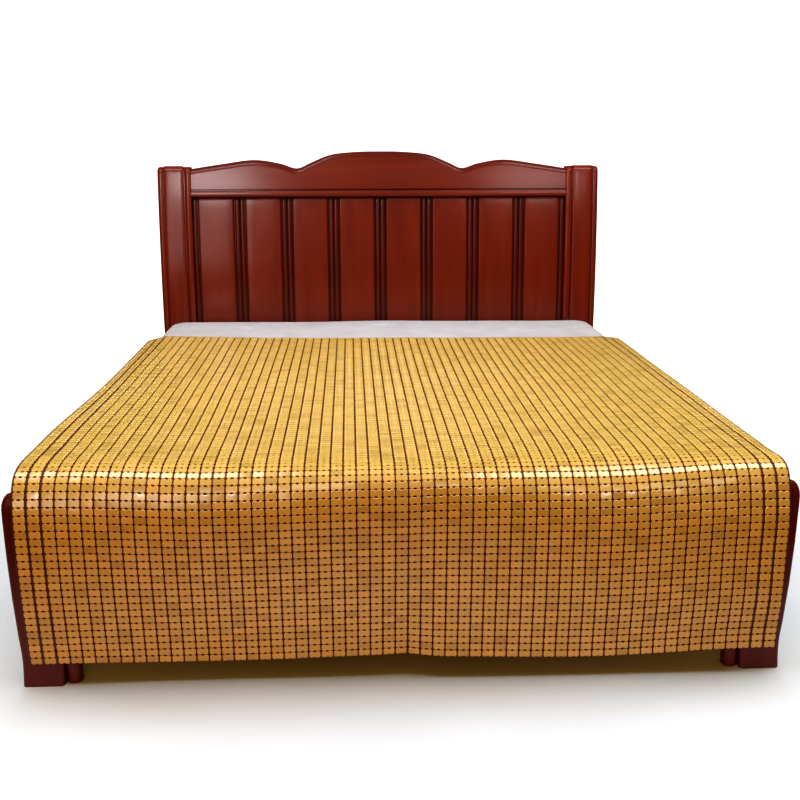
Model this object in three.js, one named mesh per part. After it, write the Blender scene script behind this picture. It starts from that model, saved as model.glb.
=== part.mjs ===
// A bamboo tile mat laid over a mattress and hanging down over the foot of a double bed.
// Millimetres, Z up. The foot end faces -Y, the headboard stands at +Y, the floor is Z = 0.
// All the tables below count Y from the face of the hanging mat.

import * as THREE from "three";

// Driving sizes of the mat
const TILE_COLUMNS = 60;
const COLUMN_PITCH = 30;
const TILE_ROWS = 112;
const ROW_PITCH = 18.6;
const EDGE_BAND = 7; // the wider outer gaps and the cord along each long side
const MAT_THICKNESS = 5.5;
const MAT_HALF = (TILE_COLUMNS * COLUMN_PITCH) / 2 + EDGE_BAND;
const MAT_LENGTH = TILE_ROWS * ROW_PITCH;

// Outer face of the mat from the hem up to the flat top. A row is one crosswise line, and its
// columns give [y, z] where that line crosses five lengthwise lines at the X of LINE_X.
const LINE_X = { edgeL: -850, left: -450, mid: 0, right: 450, edgeR: 850 };
const DROP = [
  { at: "hem", edgeL: [40, 60], left: [45, 55], mid: [28, 62], right: [23, 54], edgeR: [20, 68] },
  { at: "shin", edgeL: [31, 126], left: [39, 114], mid: [24, 112], right: [22, 100], edgeR: [20, 104] },
  { at: "low", edgeL: [18, 236], left: [21, 228], mid: [12, 227], right: [10, 210], edgeR: [7, 204] },
  { at: "half", edgeL: [12, 340], left: [5, 336], mid: [2, 336], right: [8, 316], edgeR: [8, 308] },
  { at: "high", edgeL: [12, 438], left: [-3, 438], mid: [-6, 438], right: [9, 415], edgeR: [8, 409] },
  { at: "turn 1", edgeL: [21, 485], left: [6, 489], mid: [-5, 490], right: [20, 470], edgeR: [19, 464] },
  { at: "turn 2", edgeL: [31, 508], left: [15, 508], mid: [2, 515], right: [32, 494], edgeR: [29, 494] },
  { at: "turn 3", edgeL: [47, 528], left: [33, 528], mid: [17, 532], right: [53, 515], edgeR: [47, 523] },
  { at: "turn 4", edgeL: [76, 542], left: [66, 543], mid: [42, 542], right: [92, 533], edgeR: [80, 537] },
  { at: "turn 5", edgeL: [124, 548], left: [116, 548], mid: [90, 546], right: [160, 541], edgeR: [135, 542] },
  { at: "top", edgeL: [220, 548], left: [220, 548], mid: [200, 547], right: [250, 544], edgeR: [230, 544] },
  { at: "flat", edgeL: [320, 548], left: [320, 548], mid: [300, 547], right: [350, 544], edgeR: [330, 544] },
];
// Y of the mat's rear edge on the same lengthwise lines: it lies a little askew
const REAR_EDGE = { edgeL: 1688, left: 1650, mid: 1616, right: 1622, edgeR: 1628 };

// The hanging part has one inward crease up its middle, wide on the left and short on the right.
// The last two columns are how sharply it fades across and up.
const CREASE = { depth: 19, reachLeft: 390, reachRight: 88, bottom: 55, height: 300, across: 1.4, up: 1.3 };
// The two long sides sink where the mat overhangs the mattress: how deep, from which Y and over
// what length the sinking sets in, and how wide a strip of the mat sinks
const SINK_WIDTH = 70;
const SINK = {
  left: { depth: 15, from: 200, over: 1000 },
  right: { depth: 8, from: 60, over: 130 },
};
// Low unevenness of the flat top: height, wave lengths along X and Y, and phases
const WAVES = [
  { height: 1.9, alongX: 1050, alongY: 1500, phaseX: 0.8, phaseY: 0.3 },
  { height: 1.2, alongX: 520, alongY: 760, phaseX: 2.1, phaseY: 1.4 },
];
const WAVES_FROM = 150;
const WAVES_OVER = 250;

// Driving sizes of the bed
const FOOT_HALF = 929; // outer faces of the foot posts at the floor
const HEAD_HALF = 912; // outer faces of the headboard posts
const MATTRESS_HALF = 886;
const MATTRESS_FRONT = 64;
const MATTRESS_BACK = 2053;
const MATTRESS_BOTTOM = 332;
const HEAD_FACE = 2055; // front of the headboard posts below the lean
const FIT = 0.3; // gap between pieces that touch
const MAT_CLEARANCE = 1;

// The last column is the share of the cap's inset that its front and back take
const FOOT_POST = { width: 100, depth: 38, corner: 10, depthShare: 0.8 };
// Front face of the foot end, which leans outwards towards its top, and how far the outer faces
// of its posts spread
const FOOT_FRONT = [
  { z: 0, y: 42, spread: 0 },
  { z: 22, y: 46, spread: 0 },
  { z: 44, y: 49, spread: 0 },
  { z: 62, y: 49.5, spread: 0 },
  { z: 86, y: 47, spread: 0 },
  { z: 126, y: 41, spread: 1 },
  { z: 236, y: 30, spread: 3 },
  { z: 340, y: 24, spread: 4 },
  { z: 438, y: 24, spread: 5 },
  { z: 500, y: 27, spread: 5 },
];
// The rounded top of a foot post: how far each level is drawn in from its sides
const FOOT_POST_CAP = [
  { z: 456, inset: 0 },
  { z: 472, inset: 2 },
  { z: 483, inset: 6 },
  { z: 490, inset: 11 },
  { z: 493, inset: 17 },
];
const FOOT_PANEL = { bottom: 95, top: 445, setBack: 8, thickness: 22 };
const FOOT_TOP_RAIL = { y: 45, z: 462.3, radius: 17, sides: 16 };
const FOOT_BOTTOM_RAIL = { bottom: 70, setBack: 12, thickness: 30 };
const FOOT_BRACKET = { width: 36, depth: 40, corner: 17, setBack: 12 };

const HEAD_LEAN = { from: 560, over: 640, reach: 52, power: 1.8 };
const HEAD_POST = { width: 136, thickness: 60, top: 1176, outerBead: 25, innerBead: 29, groove: 4 };
// How far parts of a headboard post's front stand before (-) or behind (+) its face
const HEAD_POST_FACE = { innerBead: -1, beadSide: 0.5, crown: -2, outerBead: 1, outerSide: 2.5, corner: 1 };
const BOARDS = 8;
const BOARD = { face: 14, shoulder: 21, back: 42, shoulderWidth: 31, bevel: 10 };
const BEAD_RAIL = { bottom: 1050, top: 1080, face: -3, back: 44, round: 6 };
const CREST = { face: 4, back: 48, lip: 14, steps: 44 };
const CREST_TOP = [
  { x: 0, z: 1233 },
  { x: 100, z: 1231 },
  { x: 205, z: 1219 },
  { x: 285, z: 1188 },
  { x: 342, z: 1165 },
  { x: 410, z: 1184 },
  { x: 515, z: 1199 },
  { x: 650, z: 1183 },
  { x: 776, z: 1164 },
];
const LOWER_RAIL = { bottom: 230, top: 300, face: 4, back: 48 };

const SIDE_RAIL = { inner: 890.3, outer: 916, bottom: 215, top: 400, gap: 1 };
const LEDGE = { inner: 862, bottom: 285 }; // the strip inside a side rail that carries the slats
const SLATS = 10;
const SLAT = { width: 112, thickness: 22, fromEnd: 80, sideGap: 6 };
const SLAT_TOP = MATTRESS_BOTTOM - FIT;
const LEDGE_TOP = SLAT_TOP - SLAT.thickness - FIT;
const CENTRE_BEAM = { half: 25, bottom: 240 };
const CENTRE_LEG = 50;

const wood = { color: 0x6b1a0e, roughness: 0.28, metalness: 0 };
const darkWood = { color: 0x4d140c, roughness: 0.35, metalness: 0 };
const paleWood = { color: 0xc9a877, roughness: 0.7, metalness: 0 };
const bamboo = { color: 0xd9a956, roughness: 0.35, metalness: 0 };
const ticking = { color: 0xdcd6e6, roughness: 0.9, metalness: 0 };

function clamp01(t) {
  return Math.min(1, Math.max(0, t));
}

function smooth(t) {
  const c = clamp01(t);
  return c * c * (3 - 2 * c);
}

// Straight-line reading of one column of a table that goes up in z
function readTable(table, z, column) {
  for (let i = 1; i < table.length; i++) {
    const a = table[i - 1];
    const b = table[i];
    if (z <= b.z) {
      return a[column] + ((b[column] - a[column]) * (z - a.z)) / (b.z - a.z);
    }
  }
  return table[table.length - 1][column];
}

function footFront(z) {
  return readTable(FOOT_FRONT, z, "y");
}

function headFace(z) {
  const t = clamp01((z - HEAD_LEAN.from) / HEAD_LEAN.over);
  return HEAD_FACE + HEAD_LEAN.reach * t ** HEAD_LEAN.power;
}

// A closed body through rings of points that all turn the same way seen from above
function loft(rings) {
  const count = rings[0].length;
  const positions = rings.flat(2);
  const index = [];
  for (let r = 0; r < rings.length - 1; r++) {
    for (let i = 0; i < count; i++) {
      const a = r * count + i;
      const b = r * count + ((i + 1) % count);
      index.push(a, b, b + count, a, b + count, a + count);
    }
  }
  const last = (rings.length - 1) * count;
  for (let i = 1; i < count - 1; i++) {
    index.push(0, i + 1, i);
    index.push(last, last + i, last + i + 1);
  }
  const geometry = new THREE.BufferGeometry();
  geometry.setAttribute("position", new THREE.Float32BufferAttribute(positions, 3));
  geometry.setIndex(index);
  return geometry;
}

// Corner points of a rounded rectangle in plan, turning anticlockwise
function roundedRectangle(x0, x1, y0, y1, radius, steps, z) {
  const points = [];
  const corners = [
    { x: x1 - radius, y: y0 + radius, from: -Math.PI / 2 },
    { x: x1 - radius, y: y1 - radius, from: 0 },
    { x: x0 + radius, y: y1 - radius, from: Math.PI / 2 },
    { x: x0 + radius, y: y0 + radius, from: Math.PI },
  ];
  for (const corner of corners) {
    for (let i = 0; i <= steps; i++) {
      const angle = corner.from + ((Math.PI / 2) * i) / steps;
      points.push([corner.x + radius * Math.cos(angle), corner.y + radius * Math.sin(angle), z]);
    }
  }
  return points;
}

// A straight block between two corners, with steps along Z so that it can be bent
function block(x0, x1, y0, y1, z0, z1, stepsZ = 1) {
  const geometry = new THREE.BoxGeometry(x1 - x0, y1 - y0, z1 - z0, 1, 1, stepsZ);
  geometry.translate((x0 + x1) / 2, (y0 + y1) / 2, (z0 + z1) / 2);
  return geometry;
}

// Moves every point of a geometry along Y by a distance that depends on its height
function bendByHeight(geometry, offsetAt) {
  const position = geometry.attributes.position;
  for (let i = 0; i < position.count; i++) {
    position.setY(i, position.getY(i) + offsetAt(position.getZ(i)));
  }
  return geometry;
}

// A plan outline raised along Z between two heights
function upright(outline, z0, z1, steps) {
  const shape = new THREE.Shape(outline.map(([x, y]) => new THREE.Vector2(x, y)));
  const geometry = new THREE.ExtrudeGeometry(shape, { depth: z1 - z0, steps, bevelEnabled: false });
  geometry.translate(0, 0, z0);
  return geometry;
}

const bed = new THREE.Group();

function addPiece(name, geometry, look) {
  const mesh = new THREE.Mesh(geometry, new THREE.MeshStandardMaterial(look));
  mesh.name = name;
  bed.add(mesh);
}

// The mat

// A value given on the five lengthwise lines, read at any X with a smooth blend between lines
function acrossLines(valueAt, x) {
  const lines = Object.keys(LINE_X);
  if (x <= LINE_X[lines[0]]) {
    return valueAt(lines[0]);
  }
  for (let i = 1; i < lines.length; i++) {
    const before = LINE_X[lines[i - 1]];
    const after = LINE_X[lines[i]];
    if (x <= after) {
      const t = smooth((x - before) / (after - before));
      return valueAt(lines[i - 1]) * (1 - t) + valueAt(lines[i]) * t;
    }
  }
  return valueAt(lines[lines.length - 1]);
}

function creaseDepth(x, z) {
  const reach = x < 0 ? CREASE.reachLeft : CREASE.reachRight;
  const across = clamp01(1 - Math.abs(x) / reach) ** CREASE.across;
  const up = clamp01(1 - (z - CREASE.bottom) / CREASE.height) ** CREASE.up;
  return CREASE.depth * across * up;
}

function topOffset(x, y) {
  const { depth, from, over } = x < 0 ? SINK.left : SINK.right;
  const outwards = smooth((Math.abs(x) - MAT_HALF + SINK_WIDTH) / SINK_WIDTH);
  const sink = depth * outwards * smooth((y - from) / over);
  const fade = smooth((y - WAVES_FROM) / WAVES_OVER);
  const turn = 2 * Math.PI;
  let waves = 0;
  for (const wave of WAVES) {
    const alongX = Math.sin((turn * x) / wave.alongX + wave.phaseX);
    const alongY = Math.sin((turn * y) / wave.alongY + wave.phaseY);
    waves += wave.height * alongX * alongY;
  }
  return waves * fade - sink;
}

// The lengthwise line of the mat at one X, measured along the mat from the hem
function lengthLine(x) {
  const points = DROP.map((row) => {
    const y = acrossLines((line) => row[line][0], x);
    const z = acrossLines((line) => row[line][1], x);
    return new THREE.Vector3(x, y + creaseDepth(x, z), z);
  });
  const curve = new THREE.CatmullRomCurve3(points);
  const bend = curve.getLength();
  const end = points[points.length - 1];
  const rear = acrossLines((line) => REAR_EDGE[line], x);
  const stretch = (rear - end.y) / (MAT_LENGTH - bend);
  const flatPoint = (s) => new THREE.Vector3(x, end.y + (s - bend) * stretch, end.z);
  return (s) => {
    const point = s <= bend ? curve.getPointAt(s / bend) : flatPoint(s);
    point.z += topOffset(x, point.y);
    return point;
  };
}

// Crosswise rows of the solid: single tile rows in the bend, wider steps where it is nearly flat
function rowSteps() {
  const bendFrom = 20;
  const bendTo = 34;
  const hangingStep = 4;
  const flatStep = 6;
  const rows = [];
  for (let row = 0; row < bendFrom; row += hangingStep) {
    rows.push(row);
  }
  for (let row = bendFrom; row < bendTo; row++) {
    rows.push(row);
  }
  for (let row = bendTo; row < TILE_ROWS; row += flatStep) {
    rows.push(row);
  }
  rows.push(TILE_ROWS);
  return rows;
}

// Lengthwise lines of the solid: every second tile column, and each of the outer two
function columnSteps() {
  const outer = MAT_HALF - EDGE_BAND;
  const lines = [-MAT_HALF, -outer + COLUMN_PITCH];
  for (let x = -outer + 2 * COLUMN_PITCH; x <= outer - 2 * COLUMN_PITCH; x += 2 * COLUMN_PITCH) {
    lines.push(x);
  }
  lines.push(outer - COLUMN_PITCH, MAT_HALF);
  return lines;
}

// A closed sheet under a grid of points, as thick as given, below and behind the outer face
function sheet(grid, thickness) {
  const columns = grid.length;
  const rows = grid[0].length;
  const along = new THREE.Vector3();
  const across = new THREE.Vector3();
  const outer = [];
  const inner = [];
  for (let i = 0; i < columns; i++) {
    for (let j = 0; j < rows; j++) {
      along.subVectors(grid[i][Math.min(j + 1, rows - 1)], grid[i][Math.max(j - 1, 0)]);
      across.subVectors(grid[Math.min(i + 1, columns - 1)][j], grid[Math.max(i - 1, 0)][j]);
      const normal = across.cross(along).normalize();
      const point = grid[i][j];
      outer.push(point.x, point.y, point.z);
      const back = point.clone().addScaledVector(normal, -thickness);
      inner.push(back.x, back.y, back.z);
    }
  }
  const below = columns * rows;
  const index = [];
  const quad = (a, b, c, d) => index.push(a, b, c, a, c, d);
  for (let i = 0; i < columns - 1; i++) {
    for (let j = 0; j < rows - 1; j++) {
      const a = i * rows + j;
      quad(a, a + rows, a + rows + 1, a + 1);
      quad(below + a, below + a + 1, below + a + rows + 1, below + a + rows);
    }
  }
  for (let i = 0; i < columns - 1; i++) {
    const hem = i * rows;
    const head = hem + rows - 1;
    quad(hem, below + hem, below + hem + rows, hem + rows);
    quad(head, head + rows, below + head + rows, below + head);
  }
  for (let j = 0; j < rows - 1; j++) {
    const left = j;
    const right = (columns - 1) * rows + j;
    quad(left, left + 1, below + left + 1, below + left);
    quad(right, below + right, below + right + 1, right + 1);
  }
  const geometry = new THREE.BufferGeometry();
  geometry.setAttribute("position", new THREE.Float32BufferAttribute([...outer, ...inner], 3));
  geometry.setIndex(index);
  return geometry;
}

function matGrid() {
  const rows = rowSteps();
  return columnSteps().map((x) => {
    const pointAt = lengthLine(x);
    return rows.map((row) => pointAt(row * ROW_PITCH));
  });
}

addPiece("bamboo_mat", sheet(matGrid(), MAT_THICKNESS), bamboo);

// The mattress, whose top lies just under the mat and is rounded over at its rim

const MATTRESS_LEVELS = [
  { z: 332, inset: 20 },
  { z: 344, inset: 4 },
  { z: 400, inset: 0 },
  { z: 470, inset: 0 },
  { z: 500, inset: 8 },
  { z: 512, inset: 26 },
];
const MATTRESS_RIM = 52;
const MATTRESS_CORNER = 60;
const MATTRESS_STEPS_X = 12;
const MATTRESS_STEPS_Y = 14;

// Height of the mat's outer face above a point of the mattress, and how steep the mat is there
function matAbove(x, y) {
  const pointAt = lengthLine(x);
  const stepLength = 6;
  let before = pointAt(0);
  for (let s = stepLength; s < MAT_LENGTH; s += stepLength) {
    const point = pointAt(s);
    if (point.y >= y && point.y > before.y) {
      const t = (y - before.y) / (point.y - before.y);
      const slope = (point.z - before.z) / (point.y - before.y);
      return { z: before.z + (point.z - before.z) * t, slope };
    }
    before = point;
  }
  return { z: before.z, slope: 0 };
}

function mattressTop(x, y) {
  const { z, slope } = matAbove(x, y);
  return z - (MAT_THICKNESS + MAT_CLEARANCE) * Math.hypot(1, slope);
}

// Draws the square corners of a plan in to round ones, keeping points inside in step
function roundCorner(x, y, halfX, halfY, radius) {
  const dx = Math.abs(x) - (halfX - radius);
  const dy = Math.abs(y) - (halfY - radius);
  if (dx <= 0 || dy <= 0) {
    return [x, y];
  }
  const scale = Math.max(dx, dy) / Math.hypot(dx, dy);
  const outX = halfX - radius + dx * scale;
  const outY = halfY - radius + dy * scale;
  return [Math.sign(x) * outX, Math.sign(y) * outY];
}

function mattress() {
  const layers = MATTRESS_LEVELS.length;
  const geometry = new THREE.BoxGeometry(2, 2, layers, MATTRESS_STEPS_X, MATTRESS_STEPS_Y, layers);
  const halfY = (MATTRESS_BACK - MATTRESS_FRONT) / 2;
  const middleY = (MATTRESS_BACK + MATTRESS_FRONT) / 2;
  const position = geometry.attributes.position;
  for (let i = 0; i < position.count; i++) {
    const layer = Math.round(position.getZ(i) + layers / 2);
    const isTop = layer === layers;
    const inset = isTop ? MATTRESS_RIM : MATTRESS_LEVELS[layer].inset;
    const hx = MATTRESS_HALF - inset;
    const hy = halfY - inset;
    const [x, dy] = roundCorner(position.getX(i) * hx, position.getY(i) * hy, hx, hy, MATTRESS_CORNER);
    const y = middleY + dy;
    const z = isTop ? mattressTop(x, y) : MATTRESS_LEVELS[layer].z;
    position.setXYZ(i, x, y, z);
  }
  return geometry;
}

addPiece("mattress", mattress(), ticking);

// The foot end: two posts with rounded tops, a panel between rails, and a bracket at each foot

function footPost(side) {
  const shaft = FOOT_FRONT.filter((level) => level.z < FOOT_POST_CAP[0].z);
  const levels = shaft.map(({ z }) => ({ z, inset: 0 }));
  const steps = 3;
  const leastFlat = 1;
  const rings = [...levels, ...FOOT_POST_CAP].map(({ z, inset }) => {
    const outer = FOOT_HALF + readTable(FOOT_FRONT, z, "spread") - inset;
    const inner = FOOT_HALF - FOOT_POST.width + inset;
    const x0 = side < 0 ? -outer : inner;
    const x1 = side < 0 ? -inner : outer;
    const y0 = footFront(z) + inset * FOOT_POST.depthShare;
    const y1 = footFront(z) + FOOT_POST.depth - inset * FOOT_POST.depthShare;
    const corner = Math.min(FOOT_POST.corner, (y1 - y0) / 2 - leastFlat);
    return roundedRectangle(x0, x1, y0, y1, corner, steps, z);
  });
  return loft(rings);
}

const panelHalf = FOOT_HALF - FOOT_POST.width - FIT;

function footPanel() {
  const front = FOOT_PANEL.setBack;
  const back = front + FOOT_PANEL.thickness;
  const steps = 6;
  const panel = block(-panelHalf, panelHalf, front, back, FOOT_PANEL.bottom, FOOT_PANEL.top - FIT, steps);
  return bendByHeight(panel, footFront);
}

function footTopRail() {
  const { y, z, radius, sides } = FOOT_TOP_RAIL;
  const rail = new THREE.CylinderGeometry(radius, radius, 2 * panelHalf, sides);
  rail.rotateZ(Math.PI / 2);
  rail.translate(0, y, z);
  return rail;
}

function footBottomRail() {
  const front = FOOT_BOTTOM_RAIL.setBack;
  const back = front + FOOT_BOTTOM_RAIL.thickness;
  const top = FOOT_PANEL.bottom - FIT;
  return bendByHeight(block(-panelHalf, panelHalf, front, back, FOOT_BOTTOM_RAIL.bottom, top), footFront);
}

function footBracket(side) {
  const outer = panelHalf;
  const inner = panelHalf - FOOT_BRACKET.width;
  const x0 = side < 0 ? -outer : inner;
  const x1 = side < 0 ? -inner : outer;
  const top = FOOT_BOTTOM_RAIL.bottom - FIT;
  const steps = 4;
  const rings = [0, top].map((z) => {
    const front = footFront(0) + FOOT_BRACKET.setBack;
    return roundedRectangle(x0, x1, front, front + FOOT_BRACKET.depth, FOOT_BRACKET.corner, steps, z);
  });
  return loft(rings);
}

addPiece("foot_post_left", footPost(-1), wood);
addPiece("foot_post_right", footPost(1), wood);
addPiece("foot_panel", footPanel(), wood);
addPiece("foot_top_rail", footTopRail(), wood);
addPiece("foot_bottom_rail", footBottomRail(), darkWood);
addPiece("foot_bracket_left", footBracket(-1), wood);
addPiece("foot_bracket_right", footBracket(1), wood);

// The headboard: grooved posts, eight raised boards, a bead rail and a scalloped crest

const boardsHalf = HEAD_HALF - HEAD_POST.width - FIT;

// Plan of the right-hand post, from its inner back corner round its front
function headPostOutline(side) {
  const inner = HEAD_HALF - HEAD_POST.width;
  const outer = HEAD_HALF;
  const faceFrom = inner + HEAD_POST.innerBead;
  const faceTo = outer - HEAD_POST.outerBead;
  const cut = HEAD_POST.groove;
  const back = HEAD_POST.thickness;
  const round = 3 * cut;
  const at = HEAD_POST_FACE;
  const outline = [
    [inner, back],
    [inner, cut],
    [inner + cut, at.beadSide],
    [inner + round, at.innerBead],
    [faceFrom - cut, at.beadSide],
    [faceFrom, cut],
    [faceFrom + cut, 0],
    [(faceFrom + faceTo) / 2, at.crown],
    [faceTo - cut, 0],
    [faceTo, cut],
    [faceTo + cut, at.outerBead],
    [outer - cut, at.outerSide],
    [outer - at.corner, round / 2],
    [outer, round],
    [outer, back],
  ];
  return side > 0 ? outline : outline.map(([x, y]) => [-x, y]);
}

function headPost(side) {
  const steps = 16;
  return bendByHeight(upright(headPostOutline(side), 0, HEAD_POST.top, steps), headFace);
}

function headBoard(i) {
  const pitch = (2 * boardsHalf + FIT) / BOARDS;
  const x0 = -boardsHalf + i * pitch;
  const x1 = x0 + pitch - FIT;
  const { face, shoulder, back, shoulderWidth, bevel } = BOARD;
  const outline = [
    [x0, back],
    [x0, shoulder],
    [x0 + shoulderWidth - bevel, shoulder],
    [x0 + shoulderWidth, face],
    [x1 - shoulderWidth, face],
    [x1 - shoulderWidth + bevel, shoulder],
    [x1, shoulder],
    [x1, back],
  ];
  const steps = 9;
  const board = upright(outline, LOWER_RAIL.top + FIT, BEAD_RAIL.bottom - FIT, steps);
  return bendByHeight(board, headFace);
}

function beadRail() {
  const { bottom, top, face, back, round } = BEAD_RAIL;
  const outline = [
    [bottom, face + round],
    [bottom + round / 2, face + round / 2],
    [bottom + round * 1.5, face],
    [top - round * 1.5, face],
    [top - round / 2, face + round / 2],
    [top, face + round],
    [top, back],
    [bottom, back],
  ];
  const shape = new THREE.Shape(outline.map(([z, y]) => new THREE.Vector2(y, z)));
  const rail = new THREE.ExtrudeGeometry(shape, { depth: 2 * boardsHalf, steps: 1, bevelEnabled: false });
  // The outline's axes become Y and Z, and the length runs along X
  rail.applyMatrix4(new THREE.Matrix4().set(0, 0, 1, -boardsHalf, 1, 0, 0, 0, 0, 1, 0, 0, 0, 0, 0, 1));
  return bendByHeight(rail, headFace);
}

const crestCurve = new THREE.CatmullRomCurve3([
  ...CREST_TOP.slice(1).reverse().map(({ x, z }) => new THREE.Vector3(-x, z, 0)),
  ...CREST_TOP.map(({ x, z }) => new THREE.Vector3(x, z, 0)),
]);

function crest() {
  const depthSteps = 4;
  const heightSteps = 3;
  const bottom = BEAD_RAIL.top + FIT;
  // The line of points next to the front and the back edge moves out to the foot of the rounded lip
  const edgeShift = 1 / depthSteps - CREST.lip / (CREST.back - CREST.face);
  const geometry = new THREE.BoxGeometry(2, 2, 2, CREST.steps, depthSteps, heightSteps);
  const position = geometry.attributes.position;
  for (let i = 0; i < position.count; i++) {
    const along = crestCurve.getPoint((position.getX(i) + 1) / 2);
    const x = THREE.MathUtils.clamp(along.x, -boardsHalf, boardsHalf);
    const depth = (position.getY(i) + 1) / 2;
    const height = (position.getZ(i) + 1) / 2;
    const isRim = depth === 0 || depth === 1;
    const top = along.y - (isRim && height === 1 ? CREST.lip : 0);
    const z = bottom + (top - bottom) * height;
    const isEdge = Math.abs(depth - 0.5) === 1 / depthSteps;
    const shift = isEdge ? edgeShift * Math.sign(depth - 0.5) : 0;
    const y = headFace(z) + CREST.face + (CREST.back - CREST.face) * (depth + shift);
    position.setXYZ(i, x, y, z);
  }
  return geometry;
}

function lowerRail() {
  const { bottom, top, face, back } = LOWER_RAIL;
  return block(-boardsHalf, boardsHalf, HEAD_FACE + face, HEAD_FACE + back, bottom, top);
}

addPiece("headboard_post_left", headPost(-1), wood);
addPiece("headboard_post_right", headPost(1), wood);
for (let i = 0; i < BOARDS; i++) {
  addPiece(`headboard_board_${i + 1}`, headBoard(i), wood);
}
addPiece("headboard_bead_rail", beadRail(), wood);
addPiece("headboard_crest", crest(), wood);
addPiece("headboard_lower_rail", lowerRail(), darkWood);

// The frame under the mattress: side rails with a ledge, slats, and a beam on a centre leg

function footBack(z) {
  return footFront(z) + FOOT_POST.depth + FIT;
}

function sideRail(side) {
  const { inner, outer, bottom, top, gap } = SIDE_RAIL;
  const back = HEAD_FACE + HEAD_POST_FACE.crown - FIT;
  const section = [
    [outer, bottom],
    [outer, top],
    [inner, top],
    [inner, LEDGE_TOP],
    [LEDGE.inner, LEDGE_TOP],
    [LEDGE.inner, LEDGE.bottom],
    [inner, LEDGE.bottom],
    [inner, bottom],
  ];
  const shape = new THREE.Shape(section.map(([x, z]) => new THREE.Vector2(side * x, z)));
  const rail = new THREE.ExtrudeGeometry(shape, { depth: 1, steps: 1, bevelEnabled: false });
  const position = rail.attributes.position;
  for (let i = 0; i < position.count; i++) {
    const z = position.getY(i);
    const y = position.getZ(i) > 0 ? footBack(z) + gap : back;
    position.setXYZ(i, position.getX(i), y, z);
  }
  return rail;
}

function slat(i) {
  const first = MATTRESS_FRONT + SLAT.fromEnd;
  const last = MATTRESS_BACK - SLAT.fromEnd;
  const y = first + ((last - first) * i) / (SLATS - 1);
  const half = SIDE_RAIL.inner - SLAT.sideGap;
  const bottom = SLAT_TOP - SLAT.thickness;
  return block(-half, half, y - SLAT.width / 2, y + SLAT.width / 2, bottom, SLAT_TOP);
}

function centreBeam() {
  const { half, bottom } = CENTRE_BEAM;
  const panelBack = footFront(bottom) + FOOT_PANEL.setBack + FOOT_PANEL.thickness;
  const railFront = HEAD_FACE + LOWER_RAIL.face;
  return block(-half, half, panelBack + 2 * FIT, railFront - FIT, bottom, LEDGE_TOP);
}

function centreLeg() {
  const half = CENTRE_LEG / 2;
  const middle = (MATTRESS_FRONT + MATTRESS_BACK) / 2;
  return block(-half, half, middle - half, middle + half, 0, CENTRE_BEAM.bottom - FIT);
}

addPiece("side_rail_left", sideRail(-1), wood);
addPiece("side_rail_right", sideRail(1), wood);
for (let i = 0; i < SLATS; i++) {
  addPiece(`slat_${i + 1}`, slat(i), paleWood);
}
addPiece("centre_beam", centreBeam(), paleWood);
addPiece("centre_leg", centreLeg(), paleWood);

// The origin is on the floor under the middle of the whole thing
const whole = new THREE.Box3().setFromObject(bed);
bed.position.set(-(whole.min.x + whole.max.x) / 2, -(whole.min.y + whole.max.y) / 2, 0);

export default bed;
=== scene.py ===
"""A bamboo tile mat over the mattress of a double bed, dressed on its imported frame.

The tables are in millimetres and count Y from the face of the hanging mat.
place() turns their points into metres in the frame.
"""

import math

import bmesh
import bpy
import numpy as np
from mathutils import Euler, Matrix, Vector


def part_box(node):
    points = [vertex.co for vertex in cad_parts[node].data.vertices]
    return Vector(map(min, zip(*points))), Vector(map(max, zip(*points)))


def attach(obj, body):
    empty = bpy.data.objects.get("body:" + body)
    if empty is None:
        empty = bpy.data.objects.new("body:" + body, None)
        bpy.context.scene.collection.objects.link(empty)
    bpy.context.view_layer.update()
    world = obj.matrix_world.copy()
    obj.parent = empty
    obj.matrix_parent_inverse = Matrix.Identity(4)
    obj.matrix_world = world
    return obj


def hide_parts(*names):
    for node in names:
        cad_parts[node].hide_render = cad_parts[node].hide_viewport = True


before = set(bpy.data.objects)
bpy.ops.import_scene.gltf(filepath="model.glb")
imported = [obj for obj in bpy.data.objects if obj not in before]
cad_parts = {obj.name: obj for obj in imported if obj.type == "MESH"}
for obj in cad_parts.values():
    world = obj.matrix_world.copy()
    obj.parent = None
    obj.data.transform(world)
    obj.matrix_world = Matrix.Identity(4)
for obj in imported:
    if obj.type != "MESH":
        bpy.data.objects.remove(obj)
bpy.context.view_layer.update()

MM = 0.001
SEED = 20481

# The mat
TILE_COLUMNS = 60
COLUMN_PITCH = 30.0
TILE_ROWS = 112
ROW_PITCH = 18.6
EDGE_BAND = 7.0
MAT_THICKNESS = 5.5
MAT_HALF = TILE_COLUMNS * COLUMN_PITCH / 2 + EDGE_BAND
MAT_LENGTH = TILE_ROWS * ROW_PITCH

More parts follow.
